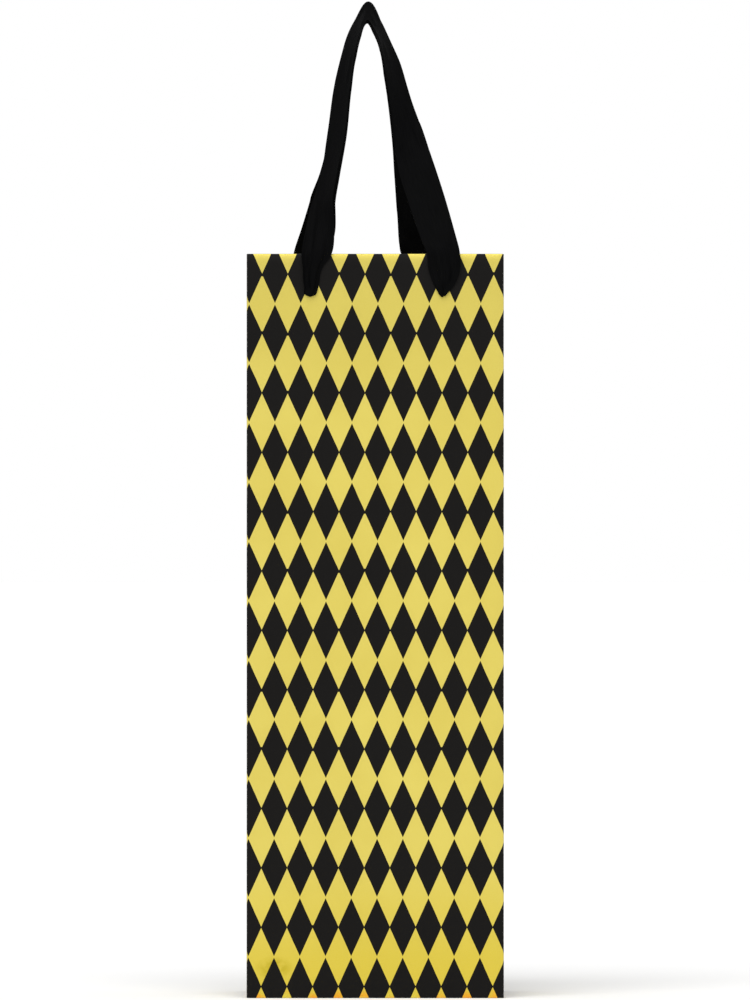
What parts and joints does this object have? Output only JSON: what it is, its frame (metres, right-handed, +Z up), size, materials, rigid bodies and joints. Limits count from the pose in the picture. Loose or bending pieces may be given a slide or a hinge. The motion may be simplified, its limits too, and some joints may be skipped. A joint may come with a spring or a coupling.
{
  "type": "wine bottle gift bag",
  "caption": "Tall narrow folded-paper carrier bag for one wine bottle, with a turned-in stiffened mouth, a loose base card and ribbon loop handles knotted through the front and back.",
  "frame": {"origin": "middle of the footprint, on the surface that the bag stands on", "axes": "+Z up the bag, +X to the right of someone facing the front panel, front panel faces -Y"},
  "size_m": [0.121, 0.0936, 0.4703],
  "materials": {
    "printed_paper": "gold foil diamonds printed on smooth black paper",
    "stiffener_board": "plain grey-brown board, not visible",
    "base_board": "plain pale grey board with cut edges",
    "satin_ribbon": "black satin, soft sheen along its length"
  },
  "bodies": {
    "bag": {"front_panel": "printed_paper", "back_panel": "printed_paper", "left_gusset_front": "printed_paper", "left_gusset_back": "printed_paper", "right_gusset_front": "printed_paper", "right_gusset_back": "printed_paper", "side_seam_tab": "printed_paper", "front_hem": "printed_paper", "back_hem": "printed_paper", "left_hem_front": "printed_paper", "left_hem_back": "printed_paper", "right_hem_front": "printed_paper", "right_hem_back": "printed_paper", "front_stiffener": "stiffener_board", "back_stiffener": "stiffener_board", "bottom_flap_front": "printed_paper", "bottom_flap_back": "printed_paper", "bottom_flap_left": "printed_paper", "bottom_flap_right": "printed_paper", "front_left_knot": "satin_ribbon", "front_right_knot": "satin_ribbon", "back_left_knot": "satin_ribbon", "back_right_knot": "satin_ribbon"},
    "front_handle": {"front_handle": "satin_ribbon"},
    "back_handle": {"back_handle": "satin_ribbon"},
    "base_card": {"base_card": "base_board"}
  },
  "joints": [
    {"name": "front_handle_swing", "type": "hinge", "parent": "bag", "child": "front_handle", "pos_m": [0, -0.0475, 0.3315], "axis": [1, 0, 0], "range_deg": [0, 175]},
    {"name": "back_handle_swing", "type": "hinge", "parent": "bag", "child": "back_handle", "pos_m": [0, 0.0475, 0.3315], "axis": [-1, 0, 0], "range_deg": [0, 175]},
    {"name": "base_card_lift", "type": "slide", "parent": "bag", "child": "base_card", "axis": [0, 0, 1], "range_m": [0, 0.22]}
  ]
}
